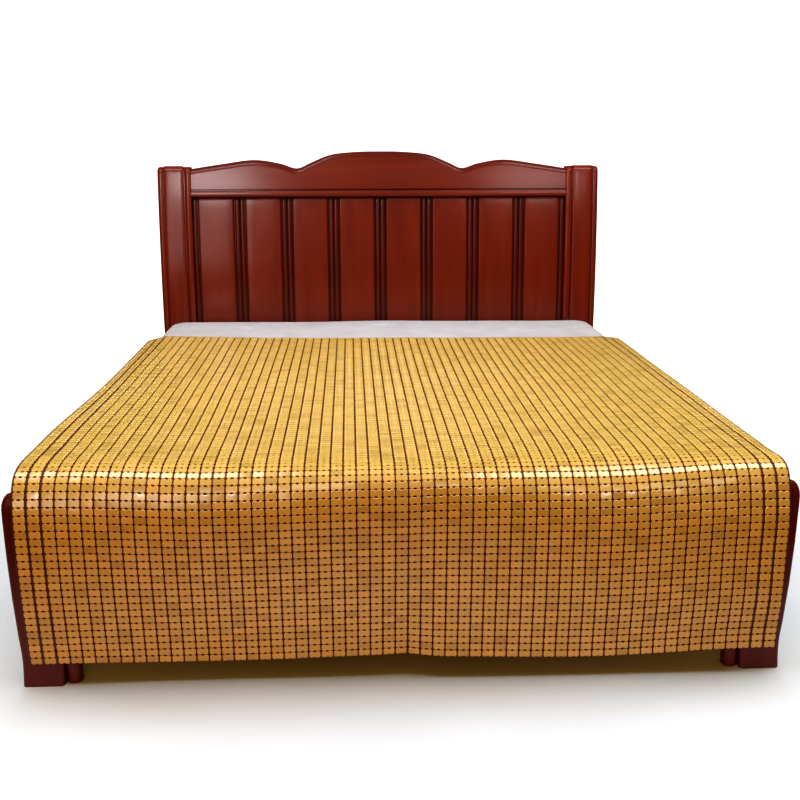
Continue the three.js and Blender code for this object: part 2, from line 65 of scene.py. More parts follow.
# Outer face of the mat from the hem up to the flat top. A row is one crosswise line, and its columns
# give (y, z) where that line crosses the lengthwise lines at the X of LINE_X.
LINE_X = np.array([-850.0, -450.0, 0.0, 450.0, 850.0])
DROP = np.array([
    [(40, 60), (45, 55), (28, 62), (23, 54), (20, 68)],
    [(31, 126), (39, 114), (24, 112), (22, 100), (20, 104)],
    [(18, 236), (21, 228), (12, 227), (10, 210), (7, 204)],
    [(12, 340), (5, 336), (2, 336), (8, 316), (8, 308)],
    [(12, 438), (-3, 438), (-6, 438), (9, 415), (8, 409)],
    [(21, 485), (6, 489), (-5, 490), (20, 470), (19, 464)],
    [(31, 508), (15, 508), (2, 515), (32, 494), (29, 494)],
    [(47, 528), (33, 528), (17, 532), (53, 515), (47, 523)],
    [(76, 542), (66, 543), (42, 542), (92, 533), (80, 537)],
    [(124, 548), (116, 548), (90, 546), (160, 541), (135, 542)],
    [(220, 548), (220, 548), (200, 547), (250, 544), (230, 544)],
    [(320, 548), (320, 548), (300, 547), (350, 544), (330, 544)],
], float)
REAR_EDGE = np.array([1688.0, 1650.0, 1616.0, 1622.0, 1628.0])
CREASE = {"depth": 19, "left": 390, "right": 88, "bottom": 55, "height": 300, "across": 1.4, "up": 1.3}
SINK_WIDTH = 70
SINK = {"left": {"depth": 15, "from": 200, "over": 1000}, "right": {"depth": 8, "from": 60, "over": 130}}
# Height, wave lengths along X and Y, and phases of the low waves of the flat top
WAVES = ((1.9, 1050, 1500, 0.8, 0.3), (1.2, 520, 760, 2.1, 1.4))
WAVES_FROM = 150
WAVES_OVER = 250

# The bed
FOOT_HALF = 929.0
HEAD_HALF = 912.0
HEAD_FACE = 2055.0
FIT = 0.3
FOOT_POST = {"width": 100, "depth": 38, "corner": 10, "share": 0.8}
# Height, Y of the foot end's front, and how far the outer faces of its posts spread
FOOT_FRONT = np.array([
    (0, 42, 0), (22, 46, 0), (44, 49, 0), (62, 49.5, 0), (86, 47, 0),
    (126, 41, 1), (236, 30, 3), (340, 24, 4), (438, 24, 5), (500, 27, 5),
], float)
HEAD_LEAN = {"from": 560, "over": 640, "reach": 52, "power": 1.8}
LOWER_RAIL_FACE = 4.0
POST_WIDTH = 136.0
POST_TOP = 1176.0
BOARDS = 8
SLATS = 10
BOARDS_HALF = HEAD_HALF - POST_WIDTH - FIT
BOARD_BOTTOM = 300 + FIT
BOARD_TOP = 1050 - FIT
CREST_TOP = np.array([
    (0, 1233), (100, 1231), (205, 1219), (285, 1188), (342, 1165),
    (410, 1184), (515, 1199), (650, 1183), (776, 1164),
], float)

# The tables' Y of 0 lies here in the frame
Y_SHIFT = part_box("headboard_lower_rail")[0].y / MM - HEAD_FACE - LOWER_RAIL_FACE


def place(points):
    """Points in the tables' millimetres as metres in the frame."""
    return (np.asarray(points, float) + (0, Y_SHIFT, 0)) * MM


def smooth(t):
    c = np.clip(t, 0, 1)
    return c * c * (3 - 2 * c)


def unit(vectors):
    return vectors / np.linalg.norm(vectors, axis=-1, keepdims=True)


def rim_of(grid):
    """The outer entries of a grid, once round it."""
    return np.concatenate([grid[:, 0], grid[-1, 1:], grid[-2::-1, -1], grid[0, -2:0:-1]])


def grid_quads(number):
    """The four corner numbers of each cell of a grid."""
    cells = [number[:-1, :-1], number[1:, :-1], number[1:, 1:], number[:-1, 1:]]
    return np.stack(cells, 2).reshape(-1, 4)


def add_object(name, data):
    made = bpy.data.objects.new(name, data)
    bpy.context.scene.collection.objects.link(made)
    return made


def mesh_piece(name, points, faces, material, sharp=50):
    """A mesh in the tables' millimetres, made from rows of corner numbers of any length."""
    mesh = bpy.data.meshes.new(name)
    corners = np.concatenate([np.asarray(f, np.int32).ravel() for f in faces])
    sizes = np.concatenate([np.full(len(f), np.shape(f)[1], np.int32) for f in faces])
    mesh.vertices.add(len(points))
    mesh.vertices.foreach_set("co", place(points).astype(np.float32).ravel())
    mesh.loops.add(len(corners))
    mesh.loops.foreach_set("vertex_index", corners)
    mesh.polygons.add(len(sizes))
    mesh.polygons.foreach_set("loop_start", (np.cumsum(sizes) - sizes).astype(np.int32))
    mesh.update(calc_edges=True)
    mesh.validate()
    mesh.shade_smooth()
    mesh.set_sharp_from_angle(angle=math.radians(sharp))
    mesh.materials.append(material)
    piece = add_object(name, mesh)
    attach(piece, "root")
    return piece


def add_float(piece, name, values):
    attribute = piece.data.attributes.new(name, "FLOAT", "POINT")
    attribute.data.foreach_set("value", np.asarray(values, np.float32).ravel())


def add_vector(piece, name, values):
    attribute = piece.data.attributes.new(name, "FLOAT_VECTOR", "POINT")
    attribute.data.foreach_set("vector", np.asarray(values, np.float32).ravel())


# Materials

# Numbers of a color Mix node's sockets: its factor, its two colors and its result
MIX_FACTOR, MIX_A, MIX_B, MIX_RESULT = 0, 6, 7, 2


class Nodes:
    """A node tree and a few short ways to add to it."""

    def __init__(self, tree):
        self.tree = tree

    def node(self, kind, inputs=(), **settings):
        made = self.tree.nodes.new(kind)
        for key, value in settings.items():
            setattr(made, key, value)
        for key, value in dict(inputs).items():
            self.feed(made.inputs[key], value)
        return made

    def feed(self, socket, value):
        if isinstance(value, bpy.types.NodeSocket):
            self.tree.links.new(value, socket)
        else:
            socket.default_value = value

    def attribute(self, name):
        return self.node("ShaderNodeAttribute", attribute_name=name)

    def stretched(self, scale, vector=None):
        """Object coordinates, or another vector, scaled on each axis."""
        if vector is None:
            vector = self.node("ShaderNodeTexCoord").outputs["Object"]
        mapping = self.node("ShaderNodeMapping", {"Vector": vector, "Scale": scale})
        return mapping.outputs["Vector"]

    def noise(self, vector, scale, detail=4.0, roughness=0.5, distortion=0.0):
        inputs = {"Vector": vector, "Scale": scale, "Detail": detail}
        inputs.update(Roughness=roughness, Distortion=distortion)
        return self.node("ShaderNodeTexNoise", inputs).outputs["Fac"]

    def ramp(self, factor, stops):
        made = self.node("ShaderNodeValToRGB", {"Fac": factor})
        elements = made.color_ramp.elements
        while len(elements) < len(stops):
            elements.new(0.5)
        for element, (position, color) in zip(elements, stops):
            element.position = position
            element.color = (*color, 1.0)
        return made.outputs["Color"]

    def math(self, operation, a, b=0.0):
        made = self.node("ShaderNodeMath", operation=operation)
        self.feed(made.inputs[0], a)
        self.feed(made.inputs[1], b)
        return made.outputs[0]

    def mix(self, factor, a, b, blend="MIX"):
        made = self.node("ShaderNodeMix", data_type="RGBA", blend_type=blend)
        self.feed(made.inputs[MIX_FACTOR], factor)
        self.feed(made.inputs[MIX_A], a)
        self.feed(made.inputs[MIX_B], b)
        return made.outputs[MIX_RESULT]


class Graph(Nodes):
    """A Principled material."""

    def __init__(self, name, **sockets):
        self.material = bpy.data.materials.new(name)
        self.material.use_nodes = True
        super().__init__(self.material.node_tree)
        self.shader = self.tree.nodes["Principled BSDF"]
        for key, value in sockets.items():
            self.shader.inputs[key.replace("_", " ")].default_value = value

    def color(self, value):
        self.feed(self.shader.inputs["Base Color"], value)

    def roughness(self, value):
        self.feed(self.shader.inputs["Roughness"], value)

    def bump(self, height, strength, distance):
        inputs = {"Height": height, "Strength": strength, "Distance": distance}
        made = self.node("ShaderNodeBump", inputs)
        self.feed(self.shader.inputs["Normal"], made.outputs["Normal"])


def gray(level):
    return (level, level, level)


# Bamboo from darker over golden to more orange
BAMBOO = (
    (0.0, (0.405, 0.262, 0.072)),
    (0.30, (0.462, 0.314, 0.090)),
    (0.60, (0.505, 0.348, 0.106)),
    (0.85, (0.540, 0.372, 0.130)),
    (1.0, (0.550, 0.352, 0.110)),
)
# By depth under a tile's top, in shares of its thickness: a pale rim, partly its lighter edge and partly
# a painted highlight from light above, over sides darkened with painted shade in the gaps
TILE_DEPTH_PAINTED_LIGHT = ((0.05, gray(1.0)), (0.12, gray(1.32)), (0.27, gray(1.22)), (0.50, (0.28, 0.17, 0.11)))


def tile_material():
    """Varnished bamboo: each tile has its own tone and fibres, a pale rim partly from a painted
    highlight, and sides darkened with painted shade.
    """
    coat = {"Coat_Weight": 1.0, "Coat_Roughness": 0.14, "Coat_IOR": 1.6}
    g = Graph("bamboo_tile", Specular_IOR_Level=0.2, **coat)
    tone = g.attribute("tone").outputs["Fac"]
    local = g.attribute("local").outputs["Vector"]
    depth = g.attribute("depth").outputs["Fac"]
    base = g.ramp(tone, BAMBOO)
    fibre = g.noise(g.stretched((0.12, 1.6, 1.0), local), 1.0, 5.0, 0.65)
    broad = g.noise(g.stretched((0.05, 0.22, 1.0), local), 1.0, 2.0, 0.5)
    streaks = g.ramp(fibre, [(0.30, gray(0.88)), (0.50, gray(1.0)), (0.72, gray(1.05))])
    clouds = g.ramp(broad, [(0.25, (0.93, 0.91, 0.87)), (0.75, (1.04, 1.03, 1.0))])
    colored = g.mix(1.0, base, streaks, "MULTIPLY")
    colored = g.mix(0.8, colored, clouds, "MULTIPLY")
    # Painted highlight on the pale rim and painted shade on the sides in the gaps, by depth
    g.color(g.mix(1.0, colored, g.ramp(depth, TILE_DEPTH_PAINTED_LIGHT), "MULTIPLY"))
    g.roughness(g.ramp(fibre, [(0.3, gray(0.34)), (0.7, gray(0.44))]))
    g.bump(fibre, 0.08, 0.0004)
    return g.material


def cord_material():
    """Dark red-brown braided cord with a waxy shine."""
    g = Graph("dark_cord", Coat_Weight=0.15, Coat_Roughness=0.3)
    local = g.stretched((1.0, 1.0, 1.0), g.attribute("local").outputs["Vector"])
    inputs = {"Vector": local, "Scale": 0.32, "Distortion": 0.6, "Detail": 1.0}
    strands = g.node("ShaderNodeTexWave", inputs, bands_direction="DIAGONAL").outputs["Fac"]
    g.color(g.ramp(strands, [(0.1, (0.040, 0.005, 0.002)), (0.9, (0.125, 0.018, 0.006))]))
    g.roughness(0.5)
    g.bump(strands, 0.35, 0.0006)
    return g.material


# Painted shade: how far grooves, the bands between raised parts and the crest's round-over are darkened
# where the mesh marks them
PAINTED_SHADE_TINT = (0.56, 0.50, 0.50, 1.0)
# Scales of the wood's figure and of its pores, along the grain and across it
WOOD_SCALES = ((1.4, 22.0), (6.0, 240.0))


def wood_material(name, grain, dark, mid, light, gloss):
    """Stained and lacquered wood with its grain along one axis, darkened with painted shade where the
    mesh marks it.
    """
    g = Graph(name, Coat_Weight=gloss, Coat_Roughness=0.16, Coat_IOR=1.5, Specular_IOR_Level=0.15)
    broad, fine = ([along if axis == grain else aside for axis in "XYZ"] for along, aside in WOOD_SCALES)
    figure = g.noise(g.stretched(broad), 1.0, 5.0, 0.55, 0.6)
    pores = g.noise(g.stretched(fine), 1.0, 3.0, 0.6)
    clouds = g.noise(g.stretched((1.0, 1.0, 1.0)), 2.6, 2.0, 0.5)
    base = g.ramp(figure, [(0.32, dark), (0.52, mid), (0.72, light)])
    lines = g.ramp(pores, [(0.36, gray(0.74)), (0.52, gray(1.0))])
    drift = g.ramp(clouds, [(0.3, gray(0.92)), (0.7, gray(1.06))])
    colored = g.mix(0.3, base, lines, "MULTIPLY")
    colored = g.mix(1.0, colored, drift, "MULTIPLY")
    # Painted shade, where the mesh marks grooves, bands between raised parts and the crest's round-over
    painted_shade = g.attribute("painted_shade").outputs["Fac"]
    g.color(g.mix(painted_shade, colored, g.mix(1.0, colored, PAINTED_SHADE_TINT, "MULTIPLY")))
    g.roughness(g.ramp(figure, [(0.3, gray(0.38)), (0.7, gray(0.33))]))
    g.bump(pores, 0.04, 0.0003)
    return g.material


def sheet_material():
    """Plain cotton with a faint lavender cast and a fine weave."""
    g = Graph("cotton_sheet", Roughness=0.92, Sheen_Weight=0.25, Sheen_Roughness=0.5)
    place_of = g.stretched((1.0, 1.0, 1.0))
    clouds = g.noise(place_of, 9.0, 3.0)
    g.color(g.ramp(clouds, [(0.3, (0.33, 0.31, 0.35)), (0.7, (0.39, 0.37, 0.41))]))
    threads = []
    for axis in ("X", "Y"):
        wave = g.node("ShaderNodeTexWave", {"Vector": place_of, "Scale": 480.0}, bands_direction=axis)
        threads.append(wave.outputs["Fac"])
    g.bump(g.math("MULTIPLY", *threads), 0.12, 0.0003)
    return g.material


def net_material():
    """Dark backing net under the tiles."""
    g = Graph("backing_net", Roughness=0.85)
    weave = g.noise(g.stretched((420.0, 420.0, 420.0)), 1.0, 2.0)
    g.color(g.ramp(weave, [(0.35, (0.026, 0.007, 0.004)), (0.65, (0.070, 0.019, 0.010))]))
    g.bump(weave, 0.3, 0.0005)
    return g.material


RED_DARK = (0.124, 0.0135, 0.0035)
RED_MID = (0.144, 0.0170, 0.0048)
RED_LIGHT = (0.166, 0.0215, 0.0068)
RED = (RED_DARK, RED_MID, RED_LIGHT)
# The foot posts and brackets get a copy of the wood at 0.68 of its brightness: painted shade
FOOT_RED_PAINTED_SHADE = [tuple(0.68 * channel for channel in tone) for tone in RED]
TILE = tile_material()
CORD = cord_material()
NET = net_material()
SHEET = sheet_material()
WOOD_UP = wood_material("mahogany_upright", "Z", *RED, 0.5)
WOOD_ACROSS = wood_material("mahogany_across", "X", *RED, 0.5)
WOOD_ALONG = wood_material("mahogany_along", "Y", *RED, 0.5)
WOOD_FOOT_PAINTED_SHADE = wood_material("mahogany_foot_painted_shade", "Z", *FOOT_RED_PAINTED_SHADE, 0.5)
SHADED = wood_material("mahogany_shaded", "X", (0.07, 0.008, 0.003), RED_DARK, RED_MID, 0.3)
PALE = ((0.36, 0.23, 0.11), (0.50, 0.34, 0.18), (0.60, 0.43, 0.25))
PALE_ACROSS = wood_material("pale_wood_across", "X", *PALE, 0.1)
PALE_ALONG = wood_material("pale_wood_along", "Y", *PALE, 0.1)
PALE_UP = wood_material("pale_wood_upright", "Z", *PALE, 0.1)


# The form of the mat


def across_lines(values, x):
    """A value given on the lengthwise lines, as the table's second axis, read at one X."""
    if x <= LINE_X[0]:
        return values[:, 0]
    if x >= LINE_X[-1]:
        return values[:, -1]
    i = int(np.searchsorted(LINE_X, x)) - 1
    t = smooth((x - LINE_X[i]) / (LINE_X[i + 1] - LINE_X[i]))
    return values[:, i] * (1 - t) + values[:, i + 1] * t


def crease_depth(x, z):
    reach = CREASE["left"] if x < 0 else CREASE["right"]
    across = np.clip(1 - abs(x) / reach, 0, 1) ** CREASE["across"]
    up = np.clip(1 - (z - CREASE["bottom"]) / CREASE["height"], 0, 1) ** CREASE["up"]
    return CREASE["depth"] * across * up


def top_offset(x, y):
    side = SINK["left" if x < 0 else "right"]
    outwards = smooth((abs(x) - MAT_HALF + SINK_WIDTH) / SINK_WIDTH)
    sink = side["depth"] * outwards * smooth((y - side["from"]) / side["over"])
    waves = 0.0
    for height, along_x, along_y, phase_x, phase_y in WAVES:
        wave_x = np.sin(2 * np.pi * x / along_x + phase_x)
        waves = waves + height * wave_x * np.sin(2 * np.pi * y / along_y + phase_y)
    return waves * smooth((y - WAVES_FROM) / WAVES_OVER) - sink


# Into how many steps a curve is cut to measure its length
CURVE_STEPS = 200


def catmull_rom(points, t):
    """The centripetal curve through the points, at parameters from 0 to 1."""
    ends = (2 * points[0] - points[1], 2 * points[-1] - points[-2])
    padded = np.vstack([ends[0], points, ends[1]])
    spot = np.asarray(t) * (len(points) - 1)
    i = np.minimum(spot.astype(int), len(points) - 2)
    w = (spot - i)[:, None]
    p0, p1, p2, p3 = (padded[i + k] for k in range(4))
    spans = ((p0, p1), (p1, p2), (p2, p3))
    d0, d1, d2 = (np.linalg.norm(b - a, axis=1)[:, None] ** 0.5 for a, b in spans)
    m1 = d1 * ((p1 - p0) / d0 - (p2 - p0) / (d0 + d1) + (p2 - p1) / d1)
    m2 = d1 * ((p2 - p1) / d1 - (p3 - p1) / (d1 + d2) + (p3 - p2) / d2)
    square = (3 * p2 - 3 * p1 - 2 * m1 - m2) * w**2
    return p1 + m1 * w + square + (2 * p1 - 2 * p2 + m1 + m2) * w**3


def length_line(x, distances):
    """Points of the mat's outer face at one X, at distances along the mat from the hem."""
    y, z = across_lines(DROP[..., 0], x), across_lines(DROP[..., 1], x)
    points = np.stack([np.full(len(y), x), y + crease_depth(x, z), z], 1)
    t = np.linspace(0, 1, CURVE_STEPS + 1)
    curve = catmull_rom(points, t)
    lengths = np.concatenate([[0], np.cumsum(np.linalg.norm(np.diff(curve, axis=0), axis=1))])
    bend = lengths[-1]
    distances = np.asarray(distances, float)
    on_curve = catmull_rom(points, np.interp(distances, lengths, t))
    end = points[-1]
    stretch = (across_lines(REAR_EDGE[None], x)[0] - end[1]) / (MAT_LENGTH - bend)
    flat = np.stack([
        np.full(len(distances), x),
        end[1] + (distances - bend) * stretch,
        np.full(len(distances), end[2]),
    ], 1)
    made = np.where((distances <= bend)[:, None], on_curve, flat)
    made[:, 2] += top_offset(x, made[:, 1])
    return made


def grid_normals(grid):
    return unit(np.cross(np.gradient(grid, axis=0), np.gradient(grid, axis=1)))


# Where the gaps between the tile columns run and how wide they are. The two outer ones on each side
# are wider, and they push the outer tiles outwards.
GAP_LINES = np.arange(-900.0, 901.0, COLUMN_PITCH)
GAP_LINES[[0, 1, 2, -3, -2, -1]] = (-905.2, -873.7, -841.2, 841.2, 873.7, 905.2)
GAP_WIDTHS = np.full(TILE_COLUMNS + 1, 3.2)
GAP_WIDTHS[[1, 2, -3, -2]] = 5.7
GAP_WIDTHS[[0, -1]] = 3.6
TILE_CENTRES = (np.arange(TILE_COLUMNS) - (TILE_COLUMNS - 1) / 2) * COLUMN_PITCH
TILE_CENTRES[[0, 1, -2, -1]] += (-5.0, -2.5, 2.5, 5.0)
ROWS_AT = np.arange(TILE_ROWS + 1) * ROW_PITCH
SURFACE = np.stack([length_line(x, ROWS_AT) for x in GAP_LINES])
NORMALS = grid_normals(SURFACE)

# A tile's size across and along the mat, its corner radius and its notches' half width and depth
TILE_SIZE = (26.9, 18.05)
TILE_CORNER = 4.4
TILE_NOTCH = (5.4, 2.5)
# How far each ring of a tile is drawn in and how deep it lies, from its underside up
TILE_RINGS = ((0.5, MAT_THICKNESS), (0.0, 1.6), (1.3, 0.25))


def tile_ring(inset, depth):
    """One ring of a tile: a rounded rectangle with a notch in the middle of each long edge."""
    half_x = TILE_SIZE[0] / 2 - inset
    half_y = TILE_SIZE[1] / 2 - inset
    radius = max(TILE_CORNER - inset * 0.5, 0.4)
    notch_x, notch_y = TILE_NOTCH[0] - inset * 0.3, TILE_NOTCH[1]
    points = []
    for quarter in range(4):
        middle = math.pi * (quarter * 0.5 - 0.75)
        corner_x = (half_x - radius) * (1 if quarter in (1, 2) else -1)
        corner_y = (half_y - radius) * (1 if quarter in (2, 3) else -1)
        for turn in (-math.pi / 4, 0, math.pi / 4):
            angle = middle + turn
            points.append((corner_x + radius * math.cos(angle), corner_y + radius * math.sin(angle)))
        if quarter in (0, 2):
            side = quarter - 1
            notch = ((side * notch_x, half_y), (0.0, half_y - notch_y), (-side * notch_x, half_y))
            points += [(x, side * y) for x, y in notch]
    return [(x, y, -depth) for x, y in points]


def tile_template():
    """Points and faces of one tile: an underside, its sides, a rounded rim and a low crown."""
    rings = np.array([tile_ring(inset, depth) for inset, depth in TILE_RINGS])
    points = np.vstack([rings.reshape(-1, 3), (0.0, 0.0, 0.0)])
    quads, underside, (top,) = tube_along(rings[None], rings.shape[1])
    crown = np.full(len(top), len(points) - 1)
    return points, quads, np.stack([top, np.roll(top, -1), crown], 1), underside


TILE_GROUPS = 4
# Spread of how far a tile tilts, in radians, and of how far it sinks
TILE_TURN = 0.018
TILE_SINK = 0.12
# Shares, tones and spread of the darker, the golden and the more orange tiles
TILE_KINDS = {"share": (0.22, 0.64, 0.14), "tone": (0.22, 0.55, 0.90), "spread": 0.11}


def tiles():
    """Every tile of the mat, rigid and flat between its four joints, in a few joined meshes."""
    rng = np.random.default_rng(SEED)
    points, quads, fan, underside = tile_template()
    made = []
    left, right = GAP_LINES[:-1], GAP_LINES[1:]
    share = ((TILE_CENTRES - left) / (right - left))[:, None, None]
    corners = [SURFACE[:-1, :-1], SURFACE[1:, :-1], SURFACE[:-1, 1:], SURFACE[1:, 1:]]
    low = corners[0] * (1 - share) + corners[1] * share
    high = corners[2] * (1 - share) + corners[3] * share
    centre = (low + high) / 2
    across = (corners[1] + corners[3]) - (corners[0] + corners[2])
    along = high - low
    normal = unit(np.cross(across, along))
    for axis in (unit(across), unit(along)):
        normal += axis * rng.normal(0, TILE_TURN, normal.shape[:2])[..., None]
    normal = unit(normal)
    across = unit(across)
    across = unit(across - normal * (across * normal).sum(2, keepdims=True))
    along = np.cross(normal, across)
    centre = centre - normal * np.abs(rng.normal(0, TILE_SINK, normal.shape[:2]))[..., None]
    tones = tile_tones(rng)
    grain = rng.uniform(-900, 900, (TILE_COLUMNS, TILE_ROWS, 2))
    per_group = TILE_COLUMNS // TILE_GROUPS
    for group in range(TILE_GROUPS):
        part = slice(group * per_group, (group + 1) * per_group)
        where, a, b, n = (v[part].reshape(-1, 1, 3) for v in (centre, across, along, normal))
        all_points = where + a * points[:, 0:1] + b * points[:, 1:2] + n * points[:, 2:3]
        count = len(where)
        step = (np.arange(count) * len(points))[:, None, None]
        faces = [(step + f).reshape(-1, f.shape[1]) for f in (quads, fan, underside)]
        name = f"mat_tiles_{group + 1}"
        piece = mesh_piece(name, all_points.reshape(-1, 3), faces, TILE, 30)
        local = np.tile(points, (count, 1)).reshape(count, -1, 3)
        local[..., :2] += grain[part].reshape(-1, 1, 2)
        add_vector(piece, "local", local)
        add_float(piece, "tone", np.repeat(tones[part].ravel(), len(points)))
        add_float(piece, "depth", np.tile(-points[:, 2] / MAT_THICKNESS, count))
        made.append(piece)
    return made


def tile_tones(rng):
    """A tone from 0 to 1 for each tile."""
    tones = np.array(TILE_KINDS["tone"])
    kinds = rng.choice(len(tones), (TILE_COLUMNS, TILE_ROWS), p=TILE_KINDS["share"])
    spread = rng.normal(0, TILE_KINDS["spread"], kinds.shape)
    return np.clip(tones[kinds] + spread, 0, 1)


def tube_along(paths, sides):
    """Joined closed tubes. paths is (tubes, steps, sides, 3), each step one ring of corner points."""
    tubes, steps = paths.shape[:2]
    ring = np.arange(sides)
    after = (ring + 1) % sides
    level = (np.arange(steps - 1) * sides)[:, None]
    quads = np.stack([level + ring, level + after, level + after + sides, level + ring + sides], 2)
    offset = (np.arange(tubes) * steps * sides)[:, None, None, None]
    quads = (offset + quads[None]).reshape(-1, 4)
    first = (offset[:, 0, 0] + ring[::-1]).reshape(-1, sides)
    last = (offset[:, 0, 0] + (steps - 1) * sides + ring).reshape(-1, sides)
    return [quads, first, last]


# Corner points of a lengthwise cord's section as shares of its half width and as depths
CORD_SECTION = ((-1.0, 4.6), (1.0, 4.6), (0.96, 2.0), (0.0, 1.1), (-0.96, 2.0))
# How far apart two cords' strands are taken from the strand pattern
CORD_PATTERN = 17.3


def lengthwise_cords():
    """The dark cord that fills each gap between tile columns and edges the mat's long sides."""
    across = unit(np.gradient(SURFACE, axis=0))
    half = (GAP_WIDTHS / 2)[:, None, None]
    rings = np.stack([SURFACE + across * half * u - NORMALS * d for u, d in CORD_SECTION], 2)
    faces = tube_along(rings, len(CORD_SECTION))
    piece = mesh_piece("mat_long_cords", rings.reshape(-1, 3), faces, CORD, 70)
    u = np.array(CORD_SECTION)[:, 0]
    local = np.zeros(rings.shape)
    local[..., 0] = u * 2 + np.arange(len(GAP_LINES))[:, None, None] * CORD_PATTERN
    local[..., 1] = ROWS_AT[None, :, None]
    add_vector(piece, "local", local)
    return piece


CROSS_RADIUS = 0.95
CROSS_DEPTH = 1.9
# How far a short cord reaches into the tiles on both sides of its gap
CROSS_REACH = 0.6
# Corner points of its section in radii, along the mat and out of it
CROSS_SECTION = ((-1.0, -0.6), (1.0, -0.6), (0.0, 1.0))


def cross_cords():
    """The short cord that crosses each gap at the middle of every tile row."""
    inner = slice(1, -1)
    mid = (SURFACE[inner, :-1] + SURFACE[inner, 1:]) / 2
    normal = (NORMALS[inner, :-1] + NORMALS[inner, 1:]) / 2
    along = unit(SURFACE[inner, 1:] - SURFACE[inner, :-1])
    across = unit(np.cross(along, normal))
    reach = (GAP_WIDTHS[inner] / 2 + CROSS_REACH)[:, None, None]
    centre = (mid - normal * CROSS_DEPTH)[:, :, None]
    rings = []
    for end in (-1, 1):
        side = [along * u * CROSS_RADIUS + normal * v * CROSS_RADIUS for u, v in CROSS_SECTION]
        rings.append(centre + (across * end * reach)[:, :, None] + np.stack(side, 2))
    sides = len(CROSS_SECTION)
    paths = np.stack(rings, 2).reshape(-1, 2, sides, 3)
    points = paths.reshape(-1, 3)
    piece = mesh_piece("mat_cross_cords", points, tube_along(paths, sides), CORD, 130)
    add_vector(piece, "local", points)
    return piece


NET_DEPTH = 3.4
NET_THICKNESS = 0.8
NET_INSET = 1


def backing_net():
    """The thin net inside the mat's thickness that the tiles are tied to."""
    lines = GAP_LINES.copy()
    lines[[0, -1]] = (NET_INSET - MAT_HALF, MAT_HALF - NET_INSET)
    grid = np.stack([length_line(x, ROWS_AT) for x in lines])
    normals = grid_normals(grid)
    columns, rows = grid.shape[:2]
    top = (grid - normals * NET_DEPTH).reshape(-1, 3)
    under = (grid - normals * (NET_DEPTH + NET_THICKNESS)).reshape(-1, 3)
    below = columns * rows
    number = np.arange(below).reshape(columns, rows)
    upper = grid_quads(number)
    rim = rim_of(number)
    after = np.roll(rim, -1)
    edge = np.stack([rim, rim + below, after + below, after], 1)
    faces = [upper, upper[:, ::-1] + below, edge]
    return mesh_piece("mat_backing_net", np.concatenate([top, under]), faces, NET)


# The mattress and its sheet

# "rim" is how far the edge of its top lies inwards of its sides, and "clear" its gap under the mat
MATTRESS = {"half": 886, "front": 64, "back": 2053, "rim": 24, "front_rim": 52, "corner": 60, "clear": 1}
MATTRESS_MIDDLE = (MATTRESS["front"] + MATTRESS["back"]) / 2
MATTRESS_HALF_Y = (MATTRESS["back"] - MATTRESS["front"]) / 2
# Height, how far the sides and the back are drawn in there, and how far the front is
MATTRESS_LEVELS = np.array([
    (332, 20, 20), (338, 9, 9), (350, 2.5, 2.5), (370, 0, 0), (400, 0, 0), (435, 0, 0), (470, 0, 0),
    (486, 0, 2.5), (500, 0.5, 8), (510, 2.5, 20), (517, 6.5, 34), (522, 13, 44),
], float)
MATTRESS_STEPS = (96, 108)
# The ruckles fade in over one in this many parts of the way from the top's edge to its middle
RUCKLE_FADE = 12
# Lengthwise lines and step along them for reading the height of the mat
READ_LINES = 61
READ_STEP = 4.0


def mattress_top(points_x, points_y):
    """Height of the mattress top, a clearance under the mat, at each point."""
    xs = np.linspace(-MATTRESS["half"], MATTRESS["half"], READ_LINES)
    surface = [length_line(x, np.arange(0, MAT_LENGTH, READ_STEP)) for x in xs]
    ys = np.arange(MATTRESS["front"], MATTRESS["back"] + READ_STEP, READ_STEP)
    heights = np.empty((len(xs), len(ys)))
    for i, line in enumerate(surface):
        rising = np.maximum.accumulate(line[:, 1])
        keep = np.concatenate([[True], np.diff(rising) > 1e-6]) & (line[:, 1] >= rising - 1e-9)
        y, z = line[keep, 1], line[keep, 2]
        slope = np.interp(ys, y, np.gradient(z, y))
        under = (MAT_THICKNESS + MATTRESS["clear"]) * np.hypot(1, np.where(ys > y[-1], 0, slope))
        heights[i] = np.interp(ys, y, z) - under
    u = np.interp(points_x, xs, np.arange(len(xs)))
    v = np.interp(points_y, ys, np.arange(len(ys)))
    i, j = np.minimum(u.astype(int), len(xs) - 2), np.minimum(v.astype(int), len(ys) - 2)
    a, b = u - i, v - j
    near = heights[i, j] * (1 - a) + heights[i + 1, j] * a
    far = heights[i, j + 1] * (1 - a) + heights[i + 1, j + 1] * a
    return near * (1 - b) + far * b


# Least and most of a ruckle's place, turn, size and height, the share that is turned a quarter further,
# how far and how often it winds, and the depth and width of the hollow along it in its own sizes
RUCKLE = {
    "count": 26, "x": (-880, 880), "y": (1720, 2050), "turn": (-1.25, 1.25), "length": (90, 260),
    "width": (9, 20), "height": (4.8, 12.0), "turned": 0.3, "wind": 14, "over": 70, "hollow": 0.5,
    "spread": 1.9,
}
# The ruckles rise from this Y of the sheet over this distance
BARE = (1700, 50)


